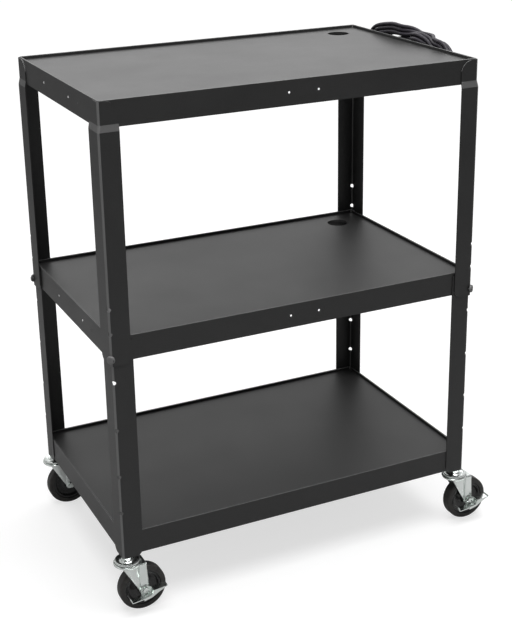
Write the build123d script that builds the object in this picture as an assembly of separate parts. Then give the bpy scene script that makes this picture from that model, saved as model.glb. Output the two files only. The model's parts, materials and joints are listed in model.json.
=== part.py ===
from build123d import *
import os
from math import dist, sqrt

# Height adjustable cart with three steel trays on telescoping angle legs and four swivel casters.
# Millimetres, +Z up, origin on the floor under the middle of the frame, long side along X, front at -Y.

# Overall sizes
cart_height = 1066.8
shelf_length = 813.0
shelf_width = 508.0
middle_drop = 458.0

# Shared working values
overrun = 2.0
body_gap = 0.4
shaft_fit = 0.05
seat_gap = 0.3

# Trays: an apron folded from the sheet, a raised rim and a deck that lies below the rim
apron_height = 51.0
shelf_sheet = 1.0
tray_recess = 6.4
rim_width = 3.5
shelf_corner_radius = 6.0
rim_edge_radius = 0.8
hem_width = 12.0
hem_setback = 34.0

# Holes in the trays
hole_row_drop = 25.0
side_hole_spacing = 158.0
side_hole_diameter = 6.0
small_hole_offset = 137.0
small_hole_diameter = 3.5
front_hole_spacing = 64.0
front_hole_shift = 9.0
front_hole_diameter = 4.5
cable_hole_diameter = 52.0
cable_hole_from_end = 75.5
cable_hole_from_back = 63.0
grommet_flange_diameter = 59.0
grommet_flange_height = 1.2
grommet_wall = 2.0
grommet_skirt = 4.0

# Angle legs: the upper pair of sheets slides outside the lower one
leg_sheet = 2.0
slide_gap = 0.5
leg_bend_radius = 2.4
lower_flange_x = 44.0
lower_flange_y = 48.0
upper_flange_x = 42.0
upper_flange_y = 52.0
lower_leg_top_inset = 8.0
lower_leg_past_socket = 4.0
lower_leg_corner_radius = 16.0
upper_leg_top_inset = 1.5
upper_leg_past_bolt = 15.0
upper_leg_top_radius = 27.0
upper_leg_bottom_radius = 16.0
joggle_start_drop = 45.0
joggle_length = 13.0

# Height holes on the bend of each leg, and the bolts' level below the middle rim
hole_pitch = 50.8
height_hole_diameter = 9.0
bolt_below_rim = 42.0
upper_hole_count = 3
lower_hole_steps = (0, 1, 3, 5)
lowest_hole_rise = 48.0

# Height bolts and their nuts
bolt_diameter = 8.0
bolt_head_diameter = 17.0
bolt_head_height = 5.5
bolt_head_edge = 1.6
nut_across_flats = 13.0
nut_height = 6.5
nut_thread_past = 2.0

# Caster sockets and stems
socket_diameter = 19.0
socket_clearance = 0.1
socket_past_tray = 1.8
stem_diameter = 11.1
stem_length = 38.0
collar_height = 9.6
collar_diameter = 20.0
cup_diameter = 52.0
cup_height = 7.0
cup_edge = 2.5

# Casters
wheel_diameter = 100.0
tread_width = 25.0
tread_thickness = 11.0
tread_edge_radius = 5.0
trail = 28.0
hub_diameter = 24.0
hub_width = 28.0
web_thickness = 9.0
rim_flange = 4.0
axle_diameter = 8.0
axle_head_across_flats = 13.0
axle_head_height = 5.0
fork_inner_width = 29.6
fork_sheet = 2.5
fork_rib_width = 16.0
fork_rib_lead = 9.5
fork_rib_height = 2.5
fork_lead_reach = 16.0
fork_trail_reach = 35.0
fork_end_radius = 11.0
crown_diameter = 57.0
crown_over_wheel = 14.0
crown_thickness = 2.5
crown_rim_height = 4.0
crown_rim_width = 3.0
kingpin_diameter = 9.5
kingpin_head_diameter = 17.0
kingpin_head_height = 3.5

# Brake pedal, a rocker on the axle of each front caster
pedal_sheet = 1.8
pedal_depth = 17.0
pedal_hub_radius = 10.0
pedal_heel_reach = 38.0
pedal_heel_drop = 3.0
pedal_curl_reach = 33.0
pedal_curl_drop = 14.0
pedal_dip_reach = 8.0
pedal_dip_drop = 11.5
pedal_step_reach = 10.0
pedal_step_drop = 7.0
pedal_tread_start = 14.0
pedal_tread_rise = 3.0
pedal_toe_reach = 43.0
pedal_toe_rise = 6.0
pedal_toe_lip = 3.0
pedal_skirt_depth = 4.5
pedal_skirt_reach = 24.0
pedal_skirt_drop = 3.0

# Outlet box on the right apron of the top shelf
box_length = 124.0
box_depth = 36.0
box_height = 37.0
box_top_drop = 1.5
box_edge_radius = 2.0
box_wall = 1.6
box_ear_length = 24.0
box_ear_sheet = 1.6
box_ear_height = 22.0
outlet_count = 3
outlet_pitch = 38.0
outlet_length = 30.0
outlet_height = 24.0
outlet_stand = 1.0
outlet_corner_radius = 6.0
blade_slot_height = 7.0
blade_slot_width = 2.0
blade_slot_spacing = 12.7
slot_depth = 5.0
ground_hole_diameter = 5.0
ground_hole_drop = 7.5
screw_head_diameter = 8.0
screw_head_height = 2.4
screw_diameter = 3.5
screw_hole_clearance = 0.15
screw_grip = 5.0

# Cord, its hank over two hooks, its strain relief and plug
cord_diameter = 8.0
strand_pitch = 8.8
inner_loop_radius = 26.2
turns_per_layer = 3
hank_rear_centre = 136.0
hank_front_centre = -96.0
hank_front_step = 3.0
hank_centre_drop = 22.0
first_layer_stand = 5.6
lead_stand = 23.6
lead_start_y = 20.0
tail_start_y = 92.0
tail_end_y = 22.0
tail_drop = 23.0
gap_step = 4.0
gap_reach = 60.0
plug_stand = 1.6
gland_length = 24.0
gland_diameter = 14.0
gland_tip_diameter = 10.0
gland_flange_diameter = 18.0
gland_flange_length = 4.0
plug_length = 42.0
plug_width = 26.0
plug_thickness = 20.0
plug_edge_radius = 4.0
blade_length = 17.0
blade_height = 6.4
blade_thickness = 1.5
hook_width = 12.0
hook_sheet = 2.0
hook_reach = 22.5
hook_lip = 11.0
hook_plate_height = 34.0
rear_hook_y = 118.0
front_hook_y = -93.0

# Places worked out from the sizes above
half_length = shelf_length / 2
half_width = shelf_width / 2
axle_height = wheel_diameter / 2
crown_top = wheel_diameter + crown_over_wheel
cup_top = crown_top + body_gap + cup_height
socket_bottom = cup_top + collar_height
bottom_rim = socket_bottom + socket_past_tray + apron_height
middle_rim = cart_height - middle_drop
bolt_z = middle_rim - bolt_below_rim
upper_shift = leg_sheet + slide_gap
socket_inset = shelf_sheet + socket_diameter / 2 + socket_clearance
stem_x = half_length - socket_inset
stem_y = half_width - socket_inset
right_face = half_length
screw_hole_radius = screw_diameter / 2 + screw_hole_clearance
corners = (
    ("front_left", -1, -1),
    ("front_right", 1, -1),
    ("rear_left", -1, 1),
    ("rear_right", 1, 1),
)
corner_sides = [(side_x, side_y) for _, side_x, side_y in corners]


def slab(length, width, low, high, radius):
    """Upright block with rounded corners, centred on the Z axis."""
    return Pos(0, 0, low) * extrude(RectangleRounded(length, width, radius), high - low)


def block(low, high):
    """Box between two opposite corners."""
    size = [b - a for a, b in zip(low, high)]
    middle = [(a + b) / 2 for a, b in zip(low, high)]
    return Pos(*middle) * Box(*size)


def rod(start, end, radius):
    """Cylinder between two points."""
    direction = Vector(*end) - Vector(*start)
    frame = Plane(origin=start, z_dir=direction)
    return frame * extrude(Circle(radius), direction.length)


def to_corner(piece, side_x, side_y):
    """Copy of a piece of the right rear corner in another corner, mirrored or turned half round."""
    if side_x < 0 and side_y < 0:
        return Rot(0, 0, 180) * piece
    if side_x < 0:
        return mirror(piece, about=Plane.YZ)
    if side_y < 0:
        return mirror(piece, about=Plane.XZ)
    return piece


def on_diagonal(z, reach, sides):
    """Point on a corner's diagonal, a reach outward from the tray's corner."""
    share = 1 / sqrt(2)
    side_x, side_y = sides
    return (side_x * (half_length + reach * share), side_y * (half_width + reach * share), z)


def diagonal_rod(z, start, end, radius, sides=(1, 1)):
    """Cylinder along a corner's diagonal, between two reaches."""
    return rod(on_diagonal(z, start, sides), on_diagonal(z, end, sides), radius)


# Trays
def tray(rim_z):
    """Folded tray with its deck below a hollow rim and short hems under the aprons."""
    base = rim_z - apron_height
    deck_top = rim_z - tray_recess
    deck_low = deck_top - shelf_sheet
    body = slab(shelf_length, shelf_width, base, rim_z, shelf_corner_radius)
    body = fillet(body.faces().sort_by(Axis.Z)[-1].edges(), rim_edge_radius)
    body -= slab(
        shelf_length - 2 * rim_width,
        shelf_width - 2 * rim_width,
        deck_top,
        rim_z + overrun,
        shelf_corner_radius - rim_width,
    )
    inner_length = shelf_length - 2 * shelf_sheet
    inner_width = shelf_width - 2 * shelf_sheet
    inner_radius = shelf_corner_radius - shelf_sheet
    body -= slab(inner_length, inner_width, base - overrun, deck_low, inner_radius)
    wall_offset = rim_width - shelf_sheet
    channel = slab(inner_length, inner_width, deck_low - shelf_sheet, rim_z - shelf_sheet, inner_radius)
    channel -= slab(
        shelf_length - 2 * wall_offset,
        shelf_width - 2 * wall_offset,
        deck_low - 2 * shelf_sheet,
        rim_z,
        shelf_corner_radius - wall_offset,
    )
    body -= channel
    for side in (-1, 1):
        y_out = side * (half_width - shelf_sheet)
        y_in = side * (half_width - hem_width)
        x_end = half_length - hem_setback
        body += block((-x_end, min(y_out, y_in), base), (x_end, max(y_out, y_in), base + shelf_sheet))
        x_out = side * (half_length - shelf_sheet)
        x_in = side * (half_length - hem_width)
        y_end = half_width - hem_setback
        body += block((min(x_out, x_in), -y_end, base), (max(x_out, x_in), y_end, base + shelf_sheet))
    return body


def apron_holes(rim_z, right_radius=side_hole_diameter / 2):
    """Accessory holes through the four aprons at mid height."""
    z = rim_z - hole_row_drop
    reach_x = half_length + overrun
    reach_y = half_width + overrun
    cut = []
    for side in (-1, 1):
        y = side * side_hole_spacing / 2
        cut.append(rod((-reach_x, y, z), (0, y, z), side_hole_diameter / 2))
        cut.append(rod((0, y, z), (reach_x, y, z), right_radius))
        x = front_hole_shift + side * front_hole_spacing / 2
        cut.append(rod((x, -reach_y, z), (x, reach_y, z), front_hole_diameter / 2))
    small = ((-reach_x, -small_hole_offset, z), (reach_x, -small_hole_offset, z))
    cut.append(rod(*small, small_hole_diameter / 2))
    return cut


cable_x = half_length - cable_hole_from_end
cable_y = half_width - cable_hole_from_back


def cable_hole(rim_z):
    """Cutter for the round cable hole in a deck."""
    low = rim_z - tray_recess - shelf_sheet - overrun
    return rod((cable_x, cable_y, low), (cable_x, cable_y, rim_z), cable_hole_diameter / 2)


def grommet(rim_z):
    """Plastic ring that lines a cable hole, flush with the deck and flanged below it."""
    deck_top = rim_z - tray_recess
    deck_low = deck_top - shelf_sheet
    outer = cable_hole_diameter / 2 - shaft_fit
    low = deck_low - grommet_skirt
    ring = rod((cable_x, cable_y, low), (cable_x, cable_y, deck_top), outer)
    flange_low = deck_low - grommet_flange_height
    ring += rod((cable_x, cable_y, flange_low), (cable_x, cable_y, deck_low), grommet_flange_diameter / 2)
    bore = outer - grommet_wall
    return ring - rod((cable_x, cable_y, low - overrun), (cable_x, cable_y, deck_top + overrun), bore)


def bolt_holes(reach_in, reach_out):
    """Height bolt holes through all four corners at the bolts' level."""
    radius = height_hole_diameter / 2
    return [diagonal_rod(bolt_z, reach_in, reach_out, radius, sides) for sides in corner_sides]


def middle_shelf():
    reach = nut_across_flats + shelf_corner_radius
    shelf = tray(middle_rim) - apron_holes(middle_rim) - cable_hole(middle_rim)
    return shelf - bolt_holes(-reach, reach)


def top_shelf():
    holes = apron_holes(cart_height, screw_hole_radius)
    return tray(cart_height) - holes - cable_hole(cart_height)


# Legs
def angle_section(shift, flange_x, flange_y, bend):
    """L section of the right rear corner, its inner faces a shift outside the tray."""
    inner_x = half_length + shift
    inner_y = half_width + shift
    outer_x = inner_x + leg_sheet
    outer_y = inner_y + leg_sheet
    outline = Polyline(
        (outer_x - flange_x, outer_y),
        (outer_x, outer_y),
        (outer_x, outer_y - flange_y),
        (inner_x, outer_y - flange_y),
        (inner_x, inner_y),
        (outer_x - flange_x, inner_y),
        close=True,
    )
    face = make_face(outline)
    face = fillet(face.vertices().sort_by_distance((outer_x, outer_y, 0))[0], bend + leg_sheet)
    return fillet(face.vertices().sort_by_distance((inner_x, inner_y, 0))[0], bend)


def round_leg_end(leg, z, radius):
    """Round the two free corners of an angle leg at one of its ends."""
    ends = leg.edges().filter_by(lambda e: abs(e.length - leg_sheet) < leg_sheet / 4)
    ends = ends.filter_by(lambda e: abs(e.center().Z - z) < leg_sheet / 4)
    far = [e for e in ends if e.center().X < half_length - radius or e.center().Y < half_width - radius]
    return fillet(far, radius)


def lower_leg():
    """Fixed angle that carries both lower trays."""
    top = middle_rim - lower_leg_top_inset
    bottom = socket_bottom - lower_leg_past_socket
    section = angle_section(0, lower_flange_x, lower_flange_y, leg_bend_radius)
    leg = Pos(0, 0, bottom) * extrude(section, top - bottom)
    leg = round_leg_end(leg, bottom, lower_leg_corner_radius)
    reach = leg_bend_radius + leg_sheet
    levels = [bolt_z - step * hole_pitch for step in lower_hole_steps] + [bottom_rim + lowest_hole_rise]
    for z in levels:
        leg -= diagonal_rod(z, -reach, reach, height_hole_diameter / 2)
    return leg


def upper_leg():
    """Sliding angle that is welded to the top tray above its joggle."""
    top = cart_height - upper_leg_top_inset
    bottom = bolt_z - upper_leg_past_bolt
    ramp_top = cart_height - joggle_start_drop
    ramp_bottom = ramp_top - joggle_length
    inset = angle_section(0, upper_flange_x - upper_shift, upper_flange_y - upper_shift, leg_bend_radius)
    slide = angle_section(upper_shift, upper_flange_x, upper_flange_y, leg_bend_radius)
    leg = Pos(0, 0, ramp_top) * extrude(inset, top - ramp_top)
    leg += loft([Pos(0, 0, ramp_bottom) * slide, Pos(0, 0, ramp_top) * inset], ruled=True)
    leg += Pos(0, 0, bottom) * extrude(slide, ramp_bottom - bottom)
    leg = round_leg_end(leg, bottom, upper_leg_bottom_radius)
    leg = round_leg_end(leg, top, upper_leg_top_radius)
    for step in range(upper_hole_count):
        z = bolt_z + step * hole_pitch
        leg -= diagonal_rod(z, 0, upper_bend_face + overrun, height_hole_diameter / 2)
    return leg


# Height bolts: heads and grips move with the upper legs, threaded ends and nuts stay in the lower ones
def bend_face(shift, bend):
    """Distance along the diagonal from the tray's corner to the outside of a leg's bend."""
    corner = (shift + leg_sheet) * sqrt(2)
    return corner - (sqrt(2) - 1) * (bend + leg_sheet)


lower_bend_face = bend_face(0, leg_bend_radius)
upper_bend_face = bend_face(upper_shift, leg_bend_radius)


def height_bolt(sides):
    """Domed head seated on the upper leg's bend, with the grip that fills the upper leg's hole."""
    head_top = upper_bend_face + bolt_head_height
    bolt = diagonal_rod(bolt_z, upper_bend_face, head_top, bolt_head_diameter / 2, sides)
    rim = bolt.edges().filter_by(GeomType.CIRCLE)
    rim = rim.sort_by(Axis((0, 0, 0), (*sides, 0)))[-1]
    bolt = fillet(rim, bolt_head_height - bolt_head_edge)
    grip_end = lower_bend_face + seat_gap
    return bolt + diagonal_rod(bolt_z, grip_end, upper_bend_face, bolt_diameter / 2, sides)


def height_nut(sides):
    """Hexagon nut inside the middle tray's corner, with the bolt's threaded end through it."""
    tray_inside = -shelf_sheet * sqrt(2)
    seat = tray_inside - nut_across_flats / 2
    side_x, side_y = sides
    frame = Plane(origin=on_diagonal(bolt_z, seat, sides), x_dir=(0, 0, 1), z_dir=(-side_x, -side_y, 0))
    nut = frame * extrude(RegularPolygon(nut_across_flats / 2, 6, major_radius=False), nut_height)
    bend = leg_bend_radius + leg_sheet
    on_bend = min(bolt_diameter / 2, bend / sqrt(2))
    falls_away = bend - sqrt(bend**2 - on_bend**2) + bolt_diameter / 2 - on_bend
    thread_start = lower_bend_face - falls_away - seat_gap
    thread_end = seat - nut_height - nut_thread_past
    return nut + diagonal_rod(bolt_z, thread_end, thread_start, bolt_diameter / 2, sides)


def at_corners(make):
    """One node of four separate solids, one in each corner."""
    return Compound(children=[make(sides) for sides in corner_sides])


# Casters, built round the swivel axis with the wheel trailing towards +X
def caster_socket(x, y):
    """Tube welded in the corner of the bottom tray."""
    top = bottom_rim - tray_recess - shelf_sheet
    tube = rod((x, y, socket_bottom), (x, y, top), socket_diameter / 2)
    bore = stem_diameter / 2 + shaft_fit
    return tube - rod((x, y, socket_bottom - overrun), (x, y, top + overrun), bore)


def turned(points, axis=Axis.Z):
    """Solid of revolution from an outline in the XZ plane."""
    outline = Polyline(*[(r, 0, z) for r, z in points], close=True)
    return revolve(make_face(outline), axis)


def caster_stem(x, y):
    """Stem with its collar, the upper bearing cup and the riveted kingpin."""
    stem = stem_diameter / 2
    cup = cup_diameter / 2
    cup_low = cup_top - cup_height
    pin = kingpin_diameter / 2
    crown_low = crown_top - crown_rim_height - crown_thickness
    head_top = crown_low - seat_gap
    head_low = head_top - kingpin_head_height
    head = kingpin_head_diameter / 2
    outline = (
        (0, head_low),
        (head, head_low),
        (head, head_top),
        (pin, head_top),
        (pin, cup_low),
        (cup, cup_low),
        (cup, cup_low + cup_edge),
        (collar_diameter / 2, cup_top),
        (collar_diameter / 2, socket_bottom),
        (stem, socket_bottom),
        (stem, socket_bottom + stem_length),
        (0, socket_bottom + stem_length),
    )
    return Pos(x, y, 0) * turned(outline)


def fork_leg():
    """Outline of one fork side, from the crown down to the round end at the axle."""
    top = crown_top - crown_rim_height - crown_thickness / 2
    eye = Pos(trail, axle_height) * Circle(fork_end_radius)
    edge = Line((-fork_lead_reach, top), (fork_trail_reach, top))
    return make_hull(eye.edges() + edge.edges())


def fork(x, y):
    """Crown with its rolled rim and two ribbed legs that hold the axle."""
    crown = crown_diameter / 2
    floor_low = crown_top - crown_rim_height - crown_thickness
    floor_top = floor_low + crown_thickness
    hole = kingpin_diameter / 2 + shaft_fit
    outline = (
        (hole, floor_low),
        (crown - crown_rim_width, floor_low),
        (crown, floor_top),
        (crown, crown_top),
        (crown - crown_rim_width, crown_top),
        (crown - crown_rim_width, floor_top),
        (hole, floor_top),
    )
    body = turned(outline)
    inner = fork_inner_width / 2
    half = inner + fork_sheet
    body += block((crown - 2 * crown_rim_width, -half, floor_low), (fork_trail_reach, half, floor_top))
    for side in (-1, 1):
        face = Plane.XZ.offset(-side * inner)
        body += extrude(face * fork_leg(), -side * fork_sheet)
        rib_face = Plane.XZ.offset(-side * (inner + fork_sheet))
        rib_low = axle_height - fork_end_radius
        rib = Pos(trail - fork_rib_lead + fork_rib_width / 2, (rib_low + floor_low) / 2)
        rib = rib * Rectangle(fork_rib_width, floor_low - rib_low)
        body += extrude(rib_face * (rib & fork_leg()), -side * fork_rib_height)
    reach = inner + fork_sheet + fork_rib_height + overrun
    bore = axle_diameter / 2 + shaft_fit
    body -= rod((trail, -reach, axle_height), (trail, reach, axle_height), bore)
    return Pos(x, y, 0) * body


def about_axle(points):
    """Solid of revolution about the wheel's axle, from radius and width pairs."""
    outline = Polyline(*[(r, w, 0) for r, w in points], close=True)
    return Pos(trail, 0, axle_height) * revolve(make_face(outline), Axis.Y)


core_radius = wheel_diameter / 2 - tread_thickness


def wheel_core(x, y):
    """Moulded centre with a hub, a dished web and a rim that carries the tread."""
    bore = axle_diameter / 2 + shaft_fit
    hub = hub_diameter / 2
    hub_half = hub_width / 2
    web = web_thickness / 2
    rim = core_radius - rim_flange
    half = tread_width / 2 - rim_flange / 2
    side = [(bore, hub_half), (hub, hub_half), (hub + web, web), (rim - web, web), (rim, half), (core_radius, half)]
    other = [(r, -w) for r, w in reversed(side)]
    return Pos(x, y, 0) * about_axle(side + other)


def wheel_tread(x, y):
    """Solid tread bonded on the core."""
    outer = wheel_diameter / 2
    half = tread_width / 2
    ring = about_axle([(core_radius, -half), (outer, -half), (outer, half), (core_radius, half)])
    rims = ring.edges().filter_by(GeomType.CIRCLE)
    rims = [e for e in rims if e.radius > (core_radius + outer) / 2]
    return Pos(x, y, 0) * fillet(rims, tread_edge_radius)


fork_outer = fork_inner_width / 2 + fork_sheet + fork_rib_height


def hexagon(x, y, z, across_flats, height, direction):
    """Hexagon head or nut standing out along Y."""
    frame = Plane(origin=(x, y, z), x_dir=(1, 0, 0), z_dir=(0, direction, 0))
    return frame * extrude(RegularPolygon(across_flats / 2, 6, major_radius=False), height)


def axle(x, y, braked):
    """Axle bolt with its head in front and its nut behind."""
    front = fork_outer
    if braked:
        front += pedal_sheet + 2 * seat_gap
    back = fork_outer
    end = back + axle_head_height + pedal_sheet
    centre = (x + trail, axle_height)
    bolt = rod((centre[0], y - front, centre[1]), (centre[0], y + end, centre[1]), axle_diameter / 2)
    bolt += hexagon(centre[0], y - front, centre[1], axle_head_across_flats, axle_head_height, -1)
    nut = hexagon(centre[0], y + back, centre[1], axle_head_across_flats, axle_head_height, 1)
    nut -= rod((centre[0], y + back, centre[1]), (centre[0], y + end, centre[1]), axle_diameter / 2)
    return Compound(children=[bolt, nut])


def brake_pedal(x, y):
    """Rocker on the axle: a bent foot strip with a web at the fork and a skirt along its outer edge."""
    heel = (-pedal_heel_reach, -pedal_heel_drop)
    curl = (-pedal_curl_reach, -pedal_curl_drop)
    dip = (-pedal_dip_reach, -pedal_dip_drop)
    step = (pedal_step_reach, -pedal_step_drop)
    tread = (pedal_tread_start, pedal_tread_rise)
    toe = (pedal_toe_reach, pedal_toe_rise)
    place = Pos(trail, axle_height)
    near = fork_outer + seat_gap
    strip = place * trace(Polyline(heel, curl, dip, step, tread, toe), pedal_sheet)
    body = extrude(Plane.XZ.offset(near) * strip, pedal_depth)
    web = place * make_hull(Circle(pedal_hub_radius).edges() + Polyline(dip, step, tread).edges())
    body += extrude(Plane.XZ.offset(near) * web, pedal_sheet)
    step_low = (step[0], step[1] - pedal_skirt_depth)
    dip_low = (dip[0], dip[1] - pedal_skirt_depth)
    skirt_end = (pedal_skirt_reach, -pedal_skirt_drop)
    skirt = place * make_face(Polyline(dip, step, tread, toe, skirt_end, step_low, dip_low, close=True))
    body += extrude(Plane.XZ.offset(near + pedal_depth - pedal_sheet) * skirt, pedal_sheet)
    toe_x = trail + pedal_toe_reach
    toe_z = axle_height + pedal_toe_rise
    body += block(
        (toe_x - pedal_sheet, -near - pedal_depth, toe_z - pedal_sheet / 2),
        (toe_x, -near, toe_z + pedal_toe_lip),
    )
    bore = axle_diameter / 2 + shaft_fit
    body -= rod((trail, -near - pedal_depth / 2, axle_height), (trail, overrun, axle_height), bore)
    return Pos(x, y, 0) * body


# Outlet box on the right side of the top tray
box_top = cart_height - box_top_drop
box_low = box_top - box_height
box_middle = (box_top + box_low) / 2
box_face = right_face + box_depth


def outlet_box():
    """Steel box with a screw ear at each end and windows for the outlets."""
    half = box_length / 2
    body = block((right_face, -half, box_low), (box_face, half, box_top))
    outer = body.edges().filter_by(lambda e: e.center().X > right_face + box_edge_radius)
    body = fillet(outer, box_edge_radius)
    body -= block(
        (right_face - overrun, box_wall - half, box_low + box_wall),
        (box_face - box_wall, half - box_wall, box_top - box_wall),
    )
    ear_low = box_middle - box_ear_height / 2
    ear_top = box_middle + box_ear_height / 2
    ear = half + box_ear_length
    body += block((right_face, -ear, ear_low), (right_face + box_ear_sheet, ear, ear_top))
    for y in outlet_places():
        pocket = outlet_block(y, seat_gap / 2)
        body -= pocket
    screw_z = cart_height - hole_row_drop
    for side in (-1, 1):
        y = side * side_hole_spacing / 2
        start = (right_face - overrun, y, screw_z)
        body -= rod(start, (right_face + box_ear_sheet + overrun, y, screw_z), screw_hole_radius)
    return body


def outlet_places():
    """Y places of the outlets along the box."""
    first = -(outlet_count - 1) / 2
    return [(first + i) * outlet_pitch for i in range(outlet_count)]


def outlet_block(y, grow):
    """Plain body of one outlet, grown for the window that takes it."""
    plan = RectangleRounded(outlet_length + 2 * grow, outlet_height + 2 * grow, outlet_corner_radius)
    start = box_face - slot_depth * 2 - grow
    frame = Plane(origin=(start, y, box_middle), x_dir=(0, 1, 0), z_dir=(1, 0, 0))
    return frame * extrude(plan, box_face + outlet_stand - start)


def outlets():
    """Three plastic outlets, each with two blade slots and an earth hole."""
    faces = []
    for y in outlet_places():
        body = outlet_block(y, 0)
        low = box_face + outlet_stand - slot_depth
        high = box_face + outlet_stand + overrun
        for side in (-1, 1):
            slot_y = y + side * blade_slot_spacing / 2
            half_slot = blade_slot_width / 2
            body -= block(
                (low, slot_y - half_slot, box_middle),
                (high, slot_y + half_slot, box_middle + blade_slot_height),
            )
        hole_z = box_middle - ground_hole_drop
        body -= rod((low, y, hole_z), (high, y, hole_z), ground_hole_diameter / 2)
        faces.append(body)
    return Compound(children=faces)


def box_screws():
    """Two pan head screws through the ears and the apron."""
    z = cart_height - hole_row_drop
    seat = right_face + box_ear_sheet
    screws = []
    for side in (-1, 1):
        y = side * side_hole_spacing / 2
        head = rod((seat, y, z), (seat + screw_head_height, y, z), screw_head_diameter / 2)
        shank_end = (right_face - shelf_sheet - screw_grip, y, z)
        screws.append(head + rod(shank_end, (seat, y, z), screw_diameter / 2))
    return Compound(children=screws)


# Cord
hank_z = cart_height - hank_centre_drop
layer_x = (right_face + first_layer_stand + strand_pitch, right_face + first_layer_stand)
lead_x = right_face + lead_stand
plug_x = right_face + plug_stand + plug_thickness / 2


def cord_hook(y):
    """Bent strap that carries the hank on the apron."""
    top = hank_z + inner_loop_radius - cord_diameter / 2 - seat_gap
    reach = right_face + hook_reach
    half = hook_width / 2
    plate_low = top - hook_plate_height
    hook = block((right_face, y - half, plate_low), (right_face + hook_sheet, y + half, top))
    hook += block((right_face, y - half, top - hook_sheet), (reach, y + half, top))
    hook += block((reach - hook_sheet, y - half, top - hook_sheet), (reach, y + half, top + hook_lip))
    return hook


def cord_hooks():
    """The two straps, one near each end of the hank."""
    return Compound(children=[cord_hook(rear_hook_y), cord_hook(front_hook_y)])


def half_turn(x, y, z_from, z_to, bulge):
    """Half circle in the plane of the loops, bulging towards bulge along Y."""
    radius = abs(z_to - z_from) / 2
    middle = (x, y + bulge * radius, (z_from + z_to) / 2)
    return ThreePointArc((x, y, z_from), middle, (x, y, z_to))


def s_bend(start, end):
    """Two equal arcs that shift a run sideways while both its ends stay along Y."""
    a = Vector(*start)
    b = Vector(*end)
    middle = (a + b) * 0.5
    along = Vector(0, 1 if b.Y > a.Y else -1, 0)
    first = TangentArc(a, middle, tangent=along)
    return [first, TangentArc(middle, b, tangent=first % 1)]


def hank_path():
    """Loops that spiral in on the outer layer, change layer along a run and spiral out again."""
    rear = hank_rear_centre
    edges = []
    radii = []
    half_turns = 2 * turns_per_layer
    step = strand_pitch / 2
    outer_radius = inner_loop_radius + (half_turns - 1) * step
    y = lead_start_y
    z = hank_z - outer_radius
    for layer, x in enumerate(layer_x):
        for turn in range(half_turns):
            grow = turn if layer else half_turns - 1 - turn
            r = inner_loop_radius + grow * step
            r_next = r + step if layer else r - step
            front = turn % 2 == 0
            side = -1 if front else 1
            centre = hank_front_centre - grow * hank_front_step / 2 if front else rear
            edges.append(Line((x, y, z), (x, centre, z)))
            target = hank_z + r_next if front else hank_z - r_next
            edges.append(half_turn(x, centre, z, target, side))
            radii.append(edges[-1].radius)
            y, z = centre, target
        if not layer:
            climb_end = hank_front_centre + inner_loop_radius
            edges += s_bend((x, y, z), (layer_x[1], climb_end, z))
            y = climb_end
    edges.append(Line((layer_x[1], y, z), (layer_x[1], tail_start_y, z)))
    return edges, radii


def tube(edges):
    """Round cord swept along joined edges."""
    path = Wire(edges)
    return sweep(Plane(origin=path @ 0, z_dir=path % 0) * Circle(cord_diameter / 2), path=path)


def least_gap(edges):
    """Smallest gap between two turns of the cord, measured on points along its path."""
    points = []
    along = 0
    for edge in edges:
        count = max(2, round(edge.length / gap_step))
        for i in range(count):
            at = edge @ (i / count)
            points.append((along + edge.length * i / count, at.X, at.Y, at.Z))
        along += edge.length
    near = [
        dist(a[1:], b[1:])
        for i, a in enumerate(points)
        for b in points[i + 1 :]
        if b[0] - a[0] > gap_reach
    ]
    return min(near) - cord_diameter


def lead_path():
    """From the strain relief round the end of the box and on to the first run of the hank."""
    gland_end = box_length / 2 + gland_flange_length + gland_length
    outer_radius = inner_loop_radius + (2 * turns_per_layer - 1) * strand_pitch / 2
    low = hank_z - outer_radius
    turn_start = gland_end + cord_diameter
    run_in = lead_start_y + cord_diameter
    edges = [Line((lead_x, gland_end, hank_z), (lead_x, turn_start, hank_z))]
    edges.append(half_turn(lead_x, turn_start, hank_z, low, 1))
    edges += s_bend((lead_x, turn_start, low), (layer_x[0], run_in, low))
    edges.append(Line((layer_x[0], run_in, low), (layer_x[0], lead_start_y, low)))
    return edges


def tail_path(start_z):
    """From the last run of the hank down and out to the plug."""
    end_z = start_z - tail_drop
    bend_end = (plug_x, tail_end_y + cord_diameter, end_z)
    edges = s_bend((layer_x[1], tail_start_y, start_z), bend_end)
    edges.append(Line(bend_end, (plug_x, tail_end_y, end_z)))
    return edges


def cord_gland():
    """Tapered strain relief on the rear end of the box."""
    y = box_length / 2
    flange = gland_flange_diameter / 2
    body = rod((lead_x, y, hank_z), (lead_x, y + gland_flange_length, hank_z), flange)
    base = Plane(origin=(lead_x, y + gland_flange_length, hank_z), z_dir=(0, 1, 0))
    cone = loft([base * Circle(gland_diameter / 2), base.offset(gland_length) * Circle(gland_tip_diameter / 2)])
    return body + cone


def plug(end_z):
    """Moulded plug with two blades, lying in line with the tail."""
    low = (plug_x - plug_thickness / 2, tail_end_y - plug_length, end_z - plug_width / 2)
    high = (plug_x + plug_thickness / 2, tail_end_y, end_z + plug_width / 2)
    body = fillet(block(low, high).edges(), plug_edge_radius)
    for side in (-1, 1):
        z = end_z + side * blade_slot_spacing / 2
        tip = tail_end_y - plug_length - blade_length
        half_blade = blade_thickness / 2
        body += block(
            (plug_x - blade_height / 2, tip, z - half_blade),
            (plug_x + blade_height / 2, tail_end_y - plug_length + blade_thickness, z + half_blade),
        )
    return body


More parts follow.
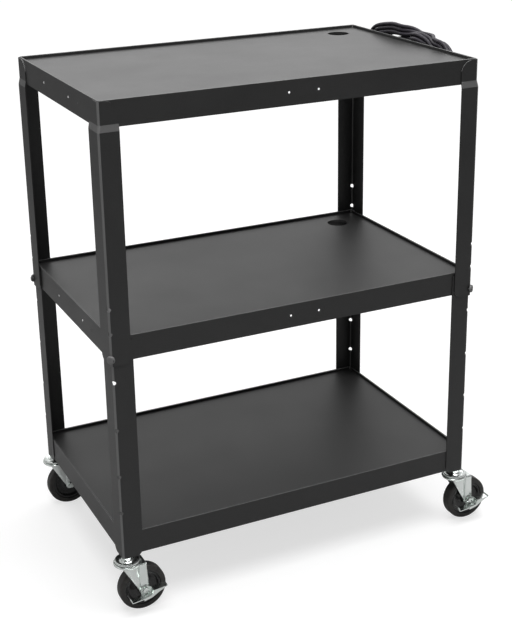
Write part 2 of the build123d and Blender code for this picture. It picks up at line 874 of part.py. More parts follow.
def build():
    """Every node by name."""
    nodes = {
        "top_shelf": top_shelf(),
        "middle_shelf": middle_shelf(),
        "bottom_shelf": tray(bottom_rim),
        "top_grommet": grommet(cart_height),
        "middle_grommet": grommet(middle_rim),
        "height_bolts": at_corners(height_bolt),
        "height_nuts": at_corners(height_nut),
        "outlet_box": outlet_box(),
        "outlets": outlets(),
        "box_screws": box_screws(),
        "cord_hooks": cord_hooks(),
        "cord_gland": cord_gland(),
    }
    lower = lower_leg()
    upper = upper_leg()
    for name, side_x, side_y in corners:
        x = side_x * stem_x
        y = side_y * stem_y
        nodes[f"upper_leg_{name}"] = to_corner(upper, side_x, side_y)
        nodes[f"lower_leg_{name}"] = to_corner(lower, side_x, side_y)
        nodes[f"caster_socket_{name}"] = caster_socket(x, y)
        nodes[f"caster_stem_{name}"] = caster_stem(x, y)
        nodes[f"caster_fork_{name}"] = fork(x, y)
        nodes[f"wheel_core_{name}"] = wheel_core(x, y)
        nodes[f"wheel_tread_{name}"] = wheel_tread(x, y)
        nodes[f"axle_{name}"] = axle(x, y, side_y < 0)
        if side_y < 0:
            nodes[f"brake_pedal_{name}"] = brake_pedal(x, y)
    edges, radii = hank_path()
    nodes["cord_hank"] = tube(edges)
    nodes["cord_lead"] = tube(lead_path())
    tail_z = (edges[-1] @ 1).Z
    nodes["cord_tail"] = tube(tail_path(tail_z))
    nodes["cord_plug"] = plug(tail_z - tail_drop)
    print("hank length", round(Wire(edges).length), "tightest loop", round(min(radii), 1))
    print("least gap between turns", round(least_gap(edges), 2))
    return nodes


os.makedirs("parts", exist_ok=True)
for node, shape in build().items():
    shape.label = node
    export_step(shape, f"parts/{node}.step")
    print(node, len(shape.solids()), round(shape.volume))
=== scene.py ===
import json
from math import cos, pi, radians, sin, sqrt, tan

import bmesh
import bpy
from mathutils import Matrix, Vector


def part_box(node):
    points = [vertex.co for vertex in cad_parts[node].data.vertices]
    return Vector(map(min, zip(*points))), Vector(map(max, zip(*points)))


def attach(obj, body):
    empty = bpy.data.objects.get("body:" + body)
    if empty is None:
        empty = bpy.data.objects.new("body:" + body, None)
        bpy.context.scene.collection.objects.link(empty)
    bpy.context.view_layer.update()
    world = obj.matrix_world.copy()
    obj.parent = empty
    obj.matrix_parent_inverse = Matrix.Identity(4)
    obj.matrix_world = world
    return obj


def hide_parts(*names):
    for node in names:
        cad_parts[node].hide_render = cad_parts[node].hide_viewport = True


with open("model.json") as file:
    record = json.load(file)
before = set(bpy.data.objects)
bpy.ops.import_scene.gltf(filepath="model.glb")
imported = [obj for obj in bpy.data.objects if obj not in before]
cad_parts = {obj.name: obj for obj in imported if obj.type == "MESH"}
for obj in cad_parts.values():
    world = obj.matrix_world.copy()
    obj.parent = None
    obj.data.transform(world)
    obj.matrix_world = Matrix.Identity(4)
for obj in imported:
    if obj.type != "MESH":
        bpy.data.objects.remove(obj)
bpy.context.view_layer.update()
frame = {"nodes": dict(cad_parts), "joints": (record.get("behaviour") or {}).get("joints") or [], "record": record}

# Places are in metres. The pressed and turned pieces are drawn in millimetres and scaled by mm.
mm = 0.001
nodes = frame["nodes"]
corners = ("front_left", "front_right", "rear_left", "rear_right")
bodies = frame["record"]["behaviour"]["bodies"]
body_of = {node: body for body, held in bodies.items() for node in held}
joint_places = {joint["name"]: joint["pos_m"] for joint in frame["joints"] if "pos_m" in joint}

# Camera, fitted to the rims of the three trays in the photograph's frame
image_width = 512
image_height = 634
camera_place = (-1.1228, -2.4193, 1.5555)
camera_yaw = radians(25.33)
camera_pitch = radians(19.1)
camera_roll = radians(-1.0)
focal_pixels = 1291.1
centre_pixel = (256.6, 255.0)
sensor_size = 36.0
clip_range = (0.05, 60.0)


def make_camera():
    data = bpy.data.cameras.new("camera")
    camera = bpy.data.objects.new("camera", data)
    bpy.context.scene.collection.objects.link(camera)
    forward = Vector((
        sin(camera_yaw) * cos(camera_pitch),
        cos(camera_yaw) * cos(camera_pitch),
        -sin(camera_pitch),
    ))
    level = Vector((cos(camera_yaw), -sin(camera_yaw), 0))
    above = level.cross(forward)
    right = level * cos(camera_roll) + above * sin(camera_roll)
    up = above * cos(camera_roll) - level * sin(camera_roll)
    turn = Matrix((right, up, -forward)).transposed().to_4x4()
    camera.matrix_world = Matrix.Translation(camera_place) @ turn
    long_side = max(image_width, image_height)
    data.sensor_width = sensor_size
    data.lens = focal_pixels * sensor_size / long_side
    data.shift_x = (image_width / 2 - centre_pixel[0]) / long_side
    data.shift_y = (centre_pixel[1] - image_height / 2) / long_side
    data.clip_start, data.clip_end = clip_range
    bpy.context.scene.camera = camera


# Node graphs of the materials and the world
white = (1, 1, 1, 1)


class Graph:
    """Short calls to add, set and link the nodes of a tree."""

    def __init__(self, tree):
        self.tree = tree

    def put(self, value, socket):
        """Link another node's socket, or set a plain value."""
        if isinstance(value, bpy.types.NodeSocket):
            self.tree.links.new(value, socket)
        else:
            socket.default_value = value

    def add(self, kind, *inputs, **properties):
        """A node with its properties and its first inputs."""
        node = self.tree.nodes.new(kind)
        for key, value in properties.items():
            setattr(node, key, value)
        for value, socket in zip(inputs, node.inputs):
            self.put(value, socket)
        return node

    def math(self, operation, *values):
        return self.add("ShaderNodeMath", *values, operation=operation).outputs["Value"]

    def vector_math(self, operation, output, *values):
        return self.add("ShaderNodeVectorMath", *values, operation=operation).outputs[output]

    def ramp(self, source, stops):
        """Values or colours between two stops of (place, value)."""
        node = self.add("ShaderNodeValToRGB", source)
        for element, (at, value) in zip(node.color_ramp.elements, stops):
            element.position = at
            element.color = value if hasattr(value, "__len__") else grey(value)
        return node.outputs["Color"]


class Shader(Graph):
    """A material with one Principled shader."""

    def __init__(self, name, **sockets):
        self.material = bpy.data.materials.new(name)
        self.material.use_nodes = True
        super().__init__(self.material.node_tree)
        self.main = self.tree.nodes["Principled BSDF"]
        for socket, value in sockets.items():
            self.main.inputs[socket.replace("_", " ")].default_value = value
        self.place = self.add("ShaderNodeTexCoord").outputs["Object"]

    def noise(self, scale, detail, roughness=0.5):
        """Noise in object space, finer as scale grows."""
        node = self.add("ShaderNodeTexNoise", self.place)
        self.put(scale, node.inputs["Scale"])
        self.put(detail, node.inputs["Detail"])
        self.put(roughness, node.inputs["Roughness"])
        return node.outputs["Fac"]

    def blend(self, share, first, second):
        """Mix of two colours: inputs 6 and 7 and output 2 are the Mix node's colour sockets."""
        node = self.add("ShaderNodeMix", data_type="RGBA")
        for value, index in ((share, 0), (first, 6), (second, 7)):
            self.put(value, node.inputs[index])
        return node.outputs[2]

    def bump(self, height, strength, distance):
        node = self.add("ShaderNodeBump")
        self.put(height, node.inputs["Height"])
        self.put(strength, node.inputs["Strength"])
        self.put(distance, node.inputs["Distance"])
        return node.outputs["Normal"]

    def painted_bend_highlight(self, flat, bent):
        """Painted highlight where a face leans away from the cart's axes, as in the bends and joggles of a sheet.
        """
        normal = self.add("ShaderNodeNewGeometry").outputs["Normal"]
        size = self.vector_math("ABSOLUTE", "Vector", normal)
        x, y, z = self.add("ShaderNodeSeparateXYZ", size).outputs
        largest = self.math("MAXIMUM", self.math("MAXIMUM", x, y), z)
        return self.ramp(largest, [(bent, 1.0), (flat, 0.0)])

    def finish(self, color, roughness, normal):
        self.put(color, self.main.inputs["Base Color"])
        self.put(roughness, self.main.inputs["Roughness"])
        self.put(normal, self.main.inputs["Normal"])
        return self.material


def grey(value, warm=0.0):
    return (value * (1 + warm), value, value * (1 - warm), 1)


# Materials
def powder_coat():
    """Black textured powder coat: a fine grain, faint blotches, a dull gloss and a painted highlight on the bends.
    """
    shader = Shader("black_coat", IOR=1.5)
    grain = shader.noise(scale=1100, detail=3)
    blotch = shader.noise(scale=9, detail=4)
    color = shader.ramp(blotch, [(0.3, grey(0.013)), (0.7, grey(0.018))])
    color = shader.blend(shader.ramp(grain, [(0.45, 0.0), (0.75, 0.5)]), color, grey(0.03))
    # Painted highlight: the bends and joggles of the sheet are made paler in colour, standing for the light they
    # catch
    color = shader.blend(shader.painted_bend_highlight(flat=0.996, bent=0.975), color, grey(0.145))
    rough = shader.ramp(blotch, [(0.25, 0.44), (0.75, 0.5)])
    return shader.finish(color, rough, shader.bump(grain, strength=0.2, distance=0.0004))


def zinc():
    """Bright zinc plate on pressed steel, slightly uneven, with dull patches."""
    shader = Shader("zinc_plate", Metallic=1.0)
    cloud = shader.noise(scale=26, detail=3)
    color = shader.ramp(cloud, [(0.3, (0.80, 0.85, 0.82, 1)), (0.72, (0.92, 0.95, 0.94, 1))])
    rough = shader.ramp(shader.noise(scale=300, detail=2), [(0.3, 0.16), (0.75, 0.27)])
    return shader.finish(color, rough, shader.bump(cloud, strength=0.05, distance=0.0008))


def wheel_centre():
    """Glossy black moulding."""
    shader = Shader("core_plastic", IOR=1.5)
    cloud = shader.noise(scale=60, detail=3)
    color = shader.ramp(cloud, [(0.3, grey(0.012)), (0.7, grey(0.02))])
    rough = shader.ramp(shader.noise(scale=160, detail=2), [(0.3, 0.13), (0.75, 0.22)])
    return shader.finish(color, rough, shader.bump(cloud, strength=0.03, distance=0.0006))


def tread():
    """Moulded black tread with a dusty, worn running face."""
    shader = Shader("tread_rubber", IOR=1.45)
    dust = shader.noise(scale=90, detail=5, roughness=0.6)
    grain = shader.noise(scale=700, detail=2)
    color = shader.ramp(dust, [(0.35, grey(0.016, 0.04)), (0.75, grey(0.045, 0.08))])
    rough = shader.ramp(dust, [(0.3, 0.42), (0.75, 0.62)])
    return shader.finish(color, rough, shader.bump(grain, strength=0.1, distance=0.0003))


def moulded(name, tone):
    """Moulded plastic with a fine spark-eroded grain and tones that vary by a third."""
    shader = Shader(name, IOR=1.46)
    cloud = shader.noise(scale=45, detail=3)
    grain = shader.noise(scale=1300, detail=2)
    color = shader.ramp(cloud, [(0.3, grey(tone)), (0.7, grey(tone * 1.35))])
    rough = shader.ramp(grain, [(0.3, 0.37), (0.7, 0.5)])
    return shader.finish(color, rough, shader.bump(grain, strength=0.1, distance=0.0003))


def jacket():
    """Soft cord jacket, near black with a violet cast and a broad dull sheen."""
    shader = Shader("cord_jacket", IOR=1.4)
    cloud = shader.noise(scale=70, detail=4)
    grain = shader.noise(scale=800, detail=2)
    color = shader.ramp(cloud, [(0.3, (0.016, 0.014, 0.019, 1)), (0.7, (0.026, 0.023, 0.031, 1))])
    rough = shader.ramp(shader.noise(scale=500, detail=3), [(0.3, 0.44), (0.7, 0.6)])
    return shader.finish(color, rough, shader.bump(grain, strength=0.12, distance=0.0003))


finishes = {
    "black_coat": powder_coat(),
    "zinc_plate": zinc(),
    "tread_rubber": tread(),
    "core_plastic": wheel_centre(),
    "black_plastic": moulded("black_plastic", 0.012),
    "outlet_plastic": moulded("outlet_plastic", 0.03),
    "cord_jacket": jacket(),
}


def finish_nodes():
    """Each CAD node takes the finish that the record names for it."""
    for row in frame["record"]["subparts"]:
        data = nodes[row["node"]].data
        data.materials.clear()
        data.materials.append(finishes[row["material_slot"]])


def stand_in(piece, slot, *stands_for):
    """Add a piece to the scene in place of CAD nodes, riding on their body."""
    bpy.context.scene.collection.objects.link(piece)
    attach(piece, body_of[stands_for[0]])
    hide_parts(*stands_for)


# Cord: the route of its solids. The lead leaves the strain relief, turns down and runs back into the
# hank's two layers of loops, and the tail runs from the last loop to the plug
cord_radius = 0.004
hank_z = 1.0448
inner_loop_radius = 0.0262
strand_pitch = 0.0088
turns_per_layer = 3
loop_steps = 6
run_steps = 14
lead_steps = 5
layer_x = (0.4209, 0.4121)
lead_x = 0.4301
plug_x = 0.4181
gland_end = (lead_x, 0.090, hank_z)
lead_straight_y = 0.094
lead_turn_y = 0.098
lead_back_y = (0.086, 0.040)
hank_start_y = 0.012
hank_rear = 0.136
hank_front = -0.096
front_step = 0.0015
tail_y = (0.112, 0.086)
plug_y = (0.042, 0.022)
tail_drop = 0.023
cord_smoothness = 6


def arc_points(x, y, z_from, z_to, bulge, count):
    """Points of a half turn, a little outside the arc, so that the smooth line has its size."""
    middle = (z_from + z_to) / 2
    radius = abs(z_to - z_from) / 2
    reach = 1 / cos(pi / count / 2)
    rise = 1 if z_to > z_from else -1
    points = []
    for i in range(count):
        turn = pi * (i + 0.5) / count
        across = y + bulge * radius * sin(turn) * reach
        points.append((x, across, middle - rise * radius * cos(turn) * reach))
    return points


def cord_route():
    """The lead, and the hank with the tail: loops in to the middle on one layer and out on the other."""
    step = strand_pitch / 2
    half_turns = 2 * turns_per_layer
    low = hank_z - inner_loop_radius - (half_turns - 1) * step
    lead = [gland_end, (lead_x, lead_straight_y, hank_z)]
    lead += arc_points(lead_x, lead_turn_y, hank_z, low, 1, lead_steps)
    lead += [(lead_x, lead_back_y[0], low), (layer_x[0], lead_back_y[1], low)]
    hank = [(layer_x[0], hank_start_y, low)]
    z = low
    for layer, x in enumerate(layer_x):
        for turn in range(half_turns):
            grow = turn if layer else half_turns - 1 - turn
            after = inner_loop_radius + (grow + (1 if layer else -1)) * step
            front = turn % 2 == 0
            side = -1 if front else 1
            centre = hank_front - grow * front_step if front else hank_rear
            run_from = hank[-1][1]
            for step_on in range(1, run_steps):
                hank.append((x, run_from + (centre - run_from) * step_on / run_steps, z))
            target = hank_z + (after if front else -after)
            hank += arc_points(x, centre, z, target, side, loop_steps)
            z = target
    tail = [(layer_x[1], y, z) for y in tail_y] + [(plug_x, y, z - tail_drop) for y in plug_y]
    return lead, hank + tail


# How the hank hangs, as tables of (place along Y, value): the drop of its upper strands, the drop
# of its folds, and the twist of its upper bundle in degrees
hank_drops = (
    (-0.165, 0.011),
    (-0.140, 0.0143),
    (-0.118, 0.0148),
    (-0.101, 0.0148),
    (-0.086, 0.0138),
    (-0.072, 0.012),
    (-0.060, 0.0112),
    (-0.042, 0.0081),
    (-0.022, 0.0052),
    (-0.002, 0.0058),
    (0.015, 0.0056),
    (0.040, 0.0035),
    (0.057, 0.0015),
    (0.078, 0.001),
    (0.104, 0.004),
    (0.131, 0.009),
    (0.152, 0.0133),
    (0.170, 0.011),
    (0.190, 0.006),
)
fold_drops = ((-0.100, 0.007), (-0.055, 0.0), (0.115, 0.0), (0.150, 0.005))
hank_turns = ((-0.088, 0.0), (-0.026, -86.0), (-0.008, -86.0), (0.052, 0.0))

# How far the twisted bundle leans out, half way and fully turned, the levels from hank_z between
# which the sinking grows from nothing to all, and the upper bundle's middle
lean_half_way = 0.007
lean_turned = 0.002
sink_low = -0.022
sink_high = 0.024
bundle_x = 0.4165
bundle_rise = 0.0372


def smooth(share):
    share = min(max(share, 0), 1)
    return share * share * (3 - 2 * share)


def along(table, y):
    """Value at a place from a table of (place, value), held beyond its ends."""
    if y <= table[0][0]:
        return table[0][1]
    for (y_from, low), (y_to, high) in zip(table, table[1:]):
        if y <= y_to:
            return low + (high - low) * smooth((y - y_from) / (y_to - y_from))
    return table[-1][1]


def settle(point):
    """A strand's point after the bundle has sunk on its hooks and twisted half over beside the rim."""
    x, y, z = point
    upper = smooth((z - hank_z - sink_low) / (sink_high - sink_low))
    turn = radians(along(hank_turns, y)) if z > hank_z else 0
    across = x - bundle_x
    rise = z - hank_z - bundle_rise
    x += (cos(turn) - 1) * across - sin(turn) * rise
    x += abs(sin(2 * turn)) * lean_half_way + abs(sin(turn)) * lean_turned
    z += (cos(turn) - 1) * rise + sin(turn) * across
    fold = along(fold_drops, y)
    return (x, y, z - fold - (along(hank_drops, y) - fold) * upper)


def make_cord():
    lead, hank = cord_route()
    points = lead + [settle(point) for point in hank]
    curve = bpy.data.curves.new("power_cord", "CURVE")
    curve.dimensions = "3D"
    curve.bevel_depth = cord_radius
    curve.bevel_resolution = cord_smoothness
    curve.resolution_u = cord_smoothness
    curve.use_fill_caps = True
    spline = curve.splines.new("NURBS")
    spline.points.add(len(points) - 1)
    for point, place in zip(spline.points, points):
        point.co = (*place, 1)
    spline.order_u = 3
    spline.use_endpoint_u = True
    curve.materials.append(finishes["cord_jacket"])
    cord = bpy.data.objects.new("power_cord", curve)
    stand_in(cord, "cord_jacket", "cord_hank", "cord_lead", "cord_tail")


# Forms of turned, cut and pressed pieces: each gives its vertices in metres and its faces
sharp_from = radians(32)
corner_steps = 3
turn_steps = 48
plate_edge = 0.4


def shade(mesh, angle):
    """Smooth faces, with the edges sharper than an angle kept."""
    mesh.polygons.foreach_set("use_smooth", [True] * len(mesh.polygons))
    mesh.set_sharp_from_angle(angle=angle)


def add_piece(name, form, slot, *stands_for):
    """One mesh from a form, with its faces turned outward."""
    verts, faces = form
    bm = bmesh.new()
    made = [bm.verts.new(v) for v in verts]
    for face in faces:
        bm.faces.new([made[i] for i in face])
    bmesh.ops.recalc_face_normals(bm, faces=bm.faces)
    mesh = bpy.data.meshes.new(name)
    bm.to_mesh(mesh)
    bm.free()
    shade(mesh, sharp_from)
    mesh.materials.append(finishes[slot])
    stand_in(bpy.data.objects.new(name, mesh), slot, *stands_for)


def joined(*parts):
    """Several closed forms as one."""
    verts = []
    faces = []
    for more_verts, more_faces in parts:
        start = len(verts)
        verts += more_verts
        faces += [tuple(i + start for i in face) for face in more_faces]
    return verts, faces


def stacked(verts, count):
    """Closed form of rings with a count of vertices each, one after another."""
    last = len(verts) - count
    faces = [tuple(range(count)), tuple(range(last, last + count))]
    for start in range(0, last, count):
        for k in range(count):
            after = (k + 1) % count
            faces.append((start + k, start + after, start + count + after, start + count + k))
    return verts, faces


def rounded(points):
    """Outline with an arc at each point that carries a radius as its third value."""
    outline = []
    for i, point in enumerate(points):
        if len(point) < 3:
            outline.append(point)
            continue
        corner = Vector(point[:2])
        back = (Vector(points[i - 1][:2]) - corner).normalized()
        ahead = (Vector(points[(i + 1) % len(points)][:2]) - corner).normalized()
        half = back.angle(ahead) / 2
        centre = corner + (back + ahead).normalized() * point[2] / sin(half)
        first = corner + back * point[2] / tan(half) - centre
        last = corner + ahead * point[2] / tan(half) - centre
        sweep = pi - 2 * half
        for step in range(corner_steps + 1):
            share = step / corner_steps
            spot = first * sin((1 - share) * sweep) + last * sin(share * sweep)
            outline.append(tuple(centre + spot / sin(sweep)))
    return outline


def hull(points):
    """Convex outline round points in a plane."""
    points = sorted(set(points))

    def side(ordered):
        chain = []
        for p in ordered:
            while len(chain) > 1:
                (ax, ay), (bx, by) = chain[-2:]
                if (bx - ax) * (p[1] - ay) - (by - ay) * (p[0] - ax) > 0:
                    break
                chain.pop()
            chain.append(p)
        return chain[:-1]

    return side(points) + side(points[::-1])


def lathe(outline, centre, axis="Z", steps=turn_steps):
    """Solid of revolution of (radius, height) pairs in millimetres about a centre in metres."""
    verts = []
    rings = []
    for radius, height in outline:
        count = steps if radius else 1
        rings.append(list(range(len(verts), len(verts) + count)))
        for k in range(count):
            turn = 2 * pi * k / steps
            a = radius * cos(turn) * mm
            b = radius * sin(turn) * mm
            offset = (a, b, height * mm) if axis == "Z" else (a, height * mm, b)
            verts.append(tuple(c + o for c, o in zip(centre, offset)))
    faces = []
    for i, first in enumerate(rings):
        second = rings[(i + 1) % len(rings)]
        if len(first) == 1 and len(second) == 1:
            continue
        for k in range(steps):
            after = (k + 1) % steps
            here = (first[k % len(first)], first[after % len(first)])
            there = (second[after % len(second)], second[k % len(second)])
            faces.append(tuple(dict.fromkeys(here + there)))
    return verts, faces


def softened_plate(outline, low, high, place, edge):
    """Plate between two levels with a chamfer round both faces; place maps (u, v, level) to metres."""
    area = sum(p[0] * q[1] - q[0] * p[1] for p, q in zip(outline, outline[1:] + outline[:1]))
    hand = 1 if area > 0 else -1

    def pulled(by):
        ring = []
        for i, point in enumerate(outline):
            corner = Vector(point)
            back = (Vector(outline[i - 1]) - corner).normalized()
            ahead = (Vector(outline[(i + 1) % len(outline)]) - corner).normalized()
            inward = Vector((-(ahead - back).y, (ahead - back).x)).normalized()
            ring.append(corner + inward * by * hand)
        return ring

    verts = []
    for by, level in ((edge, low), (0, low + edge), (0, high - edge), (edge, high)):
        verts += [place(p[0], p[1], level) for p in pulled(by)]
    return stacked(verts, len(outline))


# Hooks that carry the hank: their places along Y with their tops, and the strap in millimetres
right_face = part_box("top_shelf")[1][0]
hook_tops = ((0.118, 1.0592), (-0.093, 1.0524))
hook_reach = 22.5
hook_sheet = 2.0
hook_lip = 11.0
hook_plate = 28.0
hook_half_width = 6.0
hook_bend = 3.0
hook_crease = 1.0
hook_tip = 0.9


def hook_form(y, top):
    """Strap bent out from the apron under the strands, with a lip at its end."""
    def place(u, v, level):
        return (right_face + u * mm, y + level * mm, top + v * mm)

    lip_from = hook_reach - hook_sheet
    outline = rounded([
        (0, -hook_plate), (hook_sheet, -hook_plate), (hook_sheet, -hook_sheet, hook_crease),
        (hook_reach, -hook_sheet, hook_bend), (hook_reach, hook_lip, hook_tip),
        (lip_from, hook_lip, hook_tip), (lip_from, 0, hook_crease), (0, 0, hook_bend),
    ])
    return softened_plate(outline, -hook_half_width, hook_half_width, place, plate_edge)


def make_hooks():
    straps = joined(*(hook_form(y, top) for y, top in hook_tops))
    add_piece("cord_hook_straps", straps, "black_coat", "cord_hooks")


# Casters, in millimetres from the swivel axis at floor level, the wheel trailing towards +X
trail = (joint_places["roll_front_left"][0] - joint_places["swivel_front_left"][0]) / mm
axle_height = joint_places["roll_front_left"][2] / mm
fork_inner = 14.8
fork_sheet = 2.5
fork_lead = -16.0
fork_tail = 35.0
fork_eye = 11.0
fork_eye_steps = 24
crown_floor = (107.5, 110.0)
crown_curve = 25.0
crown_reach = 24.2
shelf_from = 18.0
shelf_corner = 3.0
shelf_edge = 0.5

# Raised strip on each fork side, and the slope that joins the side to the crown
rib_height = 2.5
rib_from = trail - 9.5
rib_to = trail + 6.5
rib_top_drop = 1.2
rib_shoulder = axle_height - 2.0
rib_foot = axle_height - 9.5
rib_foot_half = 4.0
rib_flare = 2.5
rib_lap = 2.0
rib_edge = 1.0
rib_shoulder_corner = 3.0
rib_top_corner = 1.5
rib_foot_corner = 2.0
slope_lap = 1.0
slope_drop = 0.4
slope_foot_inset = 1.6
slope_foot_width = 2.5
slope_columns = 10
slope_rows = 6
fork_outer = fork_inner + fork_sheet + rib_height

# Axle bolt
pedal_space = 2.4
head_across = 13.0
head_height = 5.0
head_crown = 0.5
head_crown_radius = 3.6
head_core_radius = 5.0
head_core_depth = 3.0
hex_sides = 6
hex_steps = ((0.86, 0.0), (1.0, 0.12), (1.0, 0.78), (0.84, 1.0))
axle_radius = 4.0
axle_chamfer = 0.8
thread_past_nut = 1.8
head_turn_steps = 24
wheel_turn_steps = 72


def stem_form(centre):
    """Riveted kingpin, dished bearing cup, collar and grooved stem."""
    outline = [
        (0, 103.8), (4.5, 103.9), (7.2, 104.8), (8.5, 106.4), (8.5, 107.1), (4.7, 107.1), (4.7, 114.5),
        (24.6, 114.5), (26.0, 115.6), (26.0, 117.4), (25.3, 118.6), (24.0, 119.0), (22.6, 118.6),
        (21.4, 117.4), (19.6, 116.7), (16.4, 116.6), (14.0, 117.4), (12.4, 119.2), (11.2, 121.0),
        (10.0, 121.6), (10.0, 129.8), (9.4, 130.8), (5.6, 131.0), (5.6, 158.0), (4.8, 159.0), (4.8, 162.0),
        (5.6, 163.0), (5.6, 167.0), (4.4, 169.0), (0, 169.0),
    ]
    return lathe(outline, centre)


def crown_form(centre):
    """Pressed crown with its rolled rim and a kingpin hole."""
    outline = [
        (4.9, 107.5), (23.6, 107.5), (26.2, 108.2), (28.0, 109.6), (28.7, 111.3),
        (28.5, 112.9), (27.6, 113.9), (26.6, 114.1), (25.7, 113.6), (25.2, 112.4),
        (24.8, 110.9), (23.6, 110.0), (4.9, 110.0),
    ]
    return lathe(outline, centre)


def crown_shelf(centre):
    """Flat tail of the crown, from which the two sides turn down behind the swivel."""
    half = fork_inner + fork_sheet

    def place(u, v, level):
        return (centre[0] + u * mm, centre[1] + v * mm, level * mm)

    outline = rounded([
        (shelf_from, -half), (fork_tail, -half, shelf_corner),
        (fork_tail, half, shelf_corner), (shelf_from, half),
    ])
    return softened_plate(outline, *crown_floor, place, shelf_edge)


def fork_slope(place):
    """Curved sheet that runs from the crown's front down into the flat leg."""
    top = sum(crown_floor) / 2
    low_y = fork_inner + fork_sheet / 2
    verts = []
    for shift in (-fork_sheet / 2, fork_sheet / 2):
        for row in range(slope_rows + 1):
            down = row / slope_rows
            for column in range(slope_columns + 1):
                across = column / slope_columns
                top_x = fork_lead + (rib_from + slope_lap - fork_lead) * across
                top_y = min(sqrt(crown_curve**2 - min(top_x, crown_curve) ** 2), crown_reach)
                low_x = trail - fork_eye + slope_foot_inset + across * slope_foot_width
                x = top_x + (low_x - top_x) * down
                y = top_y + (low_y - top_y) * sin(down * pi / 2)
                z = top - slope_drop + (rib_shoulder - top) * down
                verts.append(place(x, z, y + shift))
    faces = []
    width = slope_columns + 1
    sheet = (slope_rows + 1) * width
    for row in range(slope_rows):
        for column in range(slope_columns):
            a = row * width + column
            quad = (a, a + 1, a + width + 1, a + width)
            faces.append(quad)
            faces.append(tuple(i + sheet for i in reversed(quad)))
    rim = list(range(slope_columns)) + [r * width + slope_columns for r in range(slope_rows)]
    rim += [slope_rows * width + c for c in range(slope_columns, 0, -1)]
    rim += [r * width for r in range(slope_rows, 0, -1)]
    for k, a in enumerate(rim):
        b = rim[(k + 1) % len(rim)]
        faces.append((a, b, b + sheet, a + sheet))
    return verts, faces


def fork_side(centre, side):
    """One fork side: a flat leg with a raised strip down to the axle and a slope from the crown."""
    def place(u, v, level):
        return (centre[0] + u * mm, centre[1] + side * level * mm, v * mm)

    top = sum(crown_floor) / 2
    eye = []
    for k in range(fork_eye_steps):
        turn = 2 * pi * k / fork_eye_steps
        eye.append((trail + fork_eye * cos(turn), axle_height + fork_eye * sin(turn)))
    flat = hull(eye + [(rib_from - rib_lap, top), (fork_tail, top)])
    outer = fork_inner + fork_sheet
    leg = softened_plate(flat, fork_inner, outer, place, plate_edge)
    strip_top = crown_floor[1] - rib_top_drop
    strip = rounded([
        (rib_from, rib_shoulder, rib_shoulder_corner),
        (rib_from, strip_top, rib_top_corner),
        (rib_to, strip_top, rib_top_corner),
        (rib_to + rib_flare, rib_shoulder, rib_shoulder_corner),
        (trail + rib_foot_half, rib_foot, rib_foot_corner),
        (trail - rib_foot_half, rib_foot, rib_foot_corner),
    ])
    rib = softened_plate(strip, outer - plate_edge, fork_outer, place, rib_edge)
    return joined(leg, rib, fork_slope(place))


def hex_form(centre, start, direction):
    """Chamfered hexagon standing out along Y from a start in millimetres."""
    verts = []
    for scale, share in hex_steps:
        reach = head_across / sqrt(3) * scale * mm
        y = centre[1] + direction * (start + head_height * share) * mm
        for k in range(hex_sides):
            turn = 2 * pi * k / hex_sides
            verts.append((centre[0] + reach * cos(turn), y, centre[2] + reach * sin(turn)))
    return stacked(verts, hex_sides)


def axle_form(centre, braked):
    """Axle bolt with a chamfered head in front and a nut on its thread behind."""
    front = fork_outer + (pedal_space if braked else 0)
    end = fork_outer + head_height + thread_past_nut
    tip = axle_radius - axle_chamfer
    shank_outline = [
        (0, -front), (axle_radius, -front), (axle_radius, end - axle_chamfer), (tip, end), (0, end),
    ]
    face = -front - head_height
    core = -front - head_core_depth
    crest_outline = [(0, face - head_crown), (head_crown_radius, face), (head_core_radius, core), (0, core)]
    return joined(
        lathe(shank_outline, centre, "Y"),
        hex_form(centre, front, -1),
        lathe(crest_outline, centre, "Y", head_turn_steps),
        hex_form(centre, fork_outer, 1),
    )


def core_form(centre):
    """Moulded wheel centre: hub, dished web and a bead that holds the tread."""
    side = [
        (4.05, 13.6), (4.6, 14.0), (10.6, 14.0), (11.6, 13.2), (12.2, 9.6), (13.6, 6.6), (16.6, 5.1),
        (22.0, 4.5), (27.6, 4.7), (30.8, 6.0), (32.4, 8.6), (33.4, 10.4), (34.6, 11.0), (37.4, 11.0),
        (38.6, 10.6), (39.0, 9.8),
    ]
    return lathe(side + [(r, -w) for r, w in reversed(side)], centre, "Y", wheel_turn_steps)


def dress_casters():
    """A finished stem, fork, axle and wheel centre in each corner."""
    for corner in corners:
        x, y, _ = joint_places[f"swivel_{corner}"]
        swivel = (x, y, 0)
        hub = joint_places[f"roll_{corner}"]
        braked = f"brake_{corner}" in joint_places
        fork = joined(
            crown_form(swivel), crown_shelf(swivel), fork_side(swivel, -1), fork_side(swivel, 1)
        )
        add_piece(f"stem_{corner}", stem_form(swivel), "zinc_plate", f"caster_stem_{corner}")
        add_piece(f"fork_{corner}", fork, "zinc_plate", f"caster_fork_{corner}")
        add_piece(f"axle_bolt_{corner}", axle_form(hub, braked), "zinc_plate", f"axle_{corner}")
        add_piece(f"core_{corner}", core_form(hub), "core_plastic", f"wheel_core_{corner}")


# Trays, copied so that every flat stays flat in its shading beside the small bends
rim_roll = 0.0008
roll_segments = 4
weld_distance = 0.00001
level_slack = 0.00005
flat_angle = radians(0.3)
crest_angle = radians(70)
tray_sharp_from = radians(40)


def roll_crest(bm):
    """Round the inner edge of the raised rim's crest."""
    top = max(v.co.z for v in bm.verts)
    crest = [
        e for e in bm.edges
        if len(e.link_faces) == 2
        and min(v.co.z for v in e.verts) > top - level_slack
        and e.calc_face_angle() > crest_angle
    ]
    bmesh.ops.bevel(
        bm, geom=crest, offset=rim_roll, offset_type="OFFSET", segments=roll_segments, profile=0.5,
        affect="EDGES", clamp_overlap=False,
    )


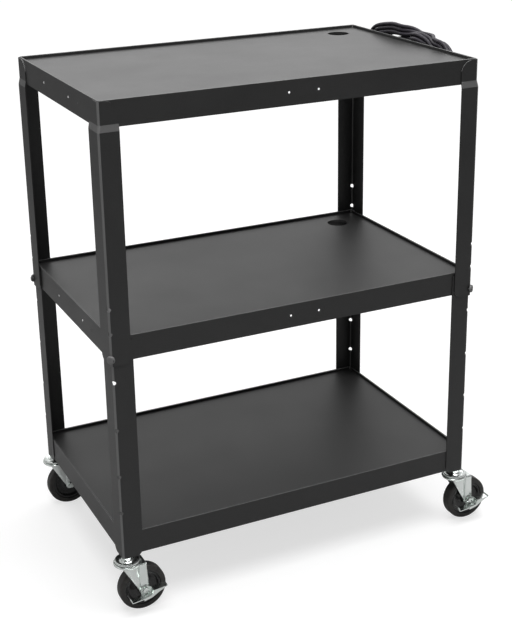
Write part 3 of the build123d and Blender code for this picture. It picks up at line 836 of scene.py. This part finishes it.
def dress_trays():
    for name in ("top_shelf", "middle_shelf", "bottom_shelf"):
        mesh = nodes[name].data.copy()
        custom = mesh.attributes.get("custom_normal")
        if custom is not None:
            mesh.attributes.remove(custom)
        bm = bmesh.new()
        bm.from_mesh(mesh)
        bmesh.ops.remove_doubles(bm, verts=bm.verts, dist=weld_distance)
        bmesh.ops.dissolve_limit(bm, angle_limit=flat_angle, verts=bm.verts, edges=bm.edges)
        roll_crest(bm)
        bm.to_mesh(mesh)
        bm.free()
        shade(mesh, tray_sharp_from)
        sheet = bpy.data.objects.new(f"{name}_sheet", mesh)
        sheet.modifiers.new("flat_faces", "WEIGHTED_NORMAL").keep_sharp = True
        stand_in(sheet, "black_coat", name)


# Floor, world and lamps
pale_side = (0.35, 0.75, 0.55)
studio_shades = ((0.1, 0.12), (0.97, 0.7))
world_light = 0.3
floor_half = 20.0
floor_tone = 0.42
floor_roughness = 0.9
floor_glow = 0.66
floor_glow_far = 0.88
glow_from = 0.9
glow_to = 3.2
floor_glow_mirrored = 0.12
cart_middle = (0, 0, 0.5)

# Each lamp's name, place, target, size in metres and watts
lamps = (
    ("top_light", (0.1, -0.5, 3.1), cart_middle, (3.2, 2.4), 110),
    ("back_light", (0.6, 1.5, 1.95), (0.1, 0, 0.9), (2.2, 1.3), 11),
    ("left_light", (-3.2, 0.4, 1.6), cart_middle, (1.4, 2.2), 5),
    ("front_light", (-1.4, -3.2, 2.6), cart_middle, (1.8, 1.6), 4),
)


def mirrored(graph, rays):
    """1 for the rays by which metal and glass show what is around them."""
    return graph.math("MAXIMUM", rays["Is Glossy Ray"], rays["Is Transmission Ray"])


def make_world():
    """White for the camera, a studio pale behind and darker in front for gloss, dim otherwise."""
    world = bpy.data.worlds.new("studio")
    bpy.context.scene.world = world
    world.use_nodes = True
    graph = Graph(world.node_tree)

    def background(color, strength):
        return graph.add("ShaderNodeBackground", color, strength).outputs["Background"]

    def pick(share, first, second):
        return graph.add("ShaderNodeMixShader", share, first, second).outputs["Shader"]

    rays = graph.add("ShaderNodeLightPath").outputs
    direction = graph.add("ShaderNodeTexCoord").outputs["Generated"]
    toward = graph.vector_math("DOT_PRODUCT", "Value", direction, Vector(pale_side).normalized())
    studio = background(graph.ramp(toward, studio_shades), 1.0)
    around = pick(mirrored(graph, rays), background(white, world_light), studio)
    seen = pick(rays["Is Camera Ray"], around, background(white, 1.0))
    graph.put(seen, graph.tree.nodes["World Output"].inputs["Surface"])


def make_floor():
    """Plain floor that glows for the camera, so that only the cart's shadow shows on it."""
    far = floor_half
    square = [(-far, -far, 0), (far, -far, 0), (far, far, 0), (-far, far, 0)]
    mesh = bpy.data.meshes.new("floor")
    mesh.from_pydata(square, [], [(0, 1, 2, 3)])
    floor = bpy.data.objects.new("floor", mesh)
    bpy.context.scene.collection.objects.link(floor)
    shader = Shader("floor", Base_Color=grey(floor_tone), Roughness=floor_roughness, Emission_Color=white)
    rays = shader.add("ShaderNodeLightPath").outputs
    reach = shader.vector_math("LENGTH", "Value", shader.place)
    spread = shader.add("ShaderNodeMapRange", reach, glow_from, glow_to, floor_glow, floor_glow_far)
    in_gloss = shader.math("MULTIPLY", mirrored(shader, rays), floor_glow_mirrored)
    glow = shader.math("MULTIPLY_ADD", rays["Is Camera Ray"], spread.outputs["Result"], in_gloss)
    shader.put(glow, shader.main.inputs["Emission Strength"])
    mesh.materials.append(shader.material)


def make_lamp(name, place, target, size, watts):
    data = bpy.data.lights.new(name, "AREA")
    data.shape = "RECTANGLE"
    data.size, data.size_y = size
    data.energy = watts
    lamp = bpy.data.objects.new(name, data)
    bpy.context.scene.collection.objects.link(lamp)
    lamp.location = place
    aim = Vector(target) - Vector(place)
    lamp.rotation_mode = "QUATERNION"
    lamp.rotation_quaternion = aim.to_track_quat("-Z", "Y")
    lamp.visible_camera = False


make_camera()
make_world()
make_floor()
for lamp_row in lamps:
    make_lamp(*lamp_row)
finish_nodes()
make_cord()
make_hooks()
dress_casters()
dress_trays()
bpy.context.scene.view_settings.view_transform = "Standard"
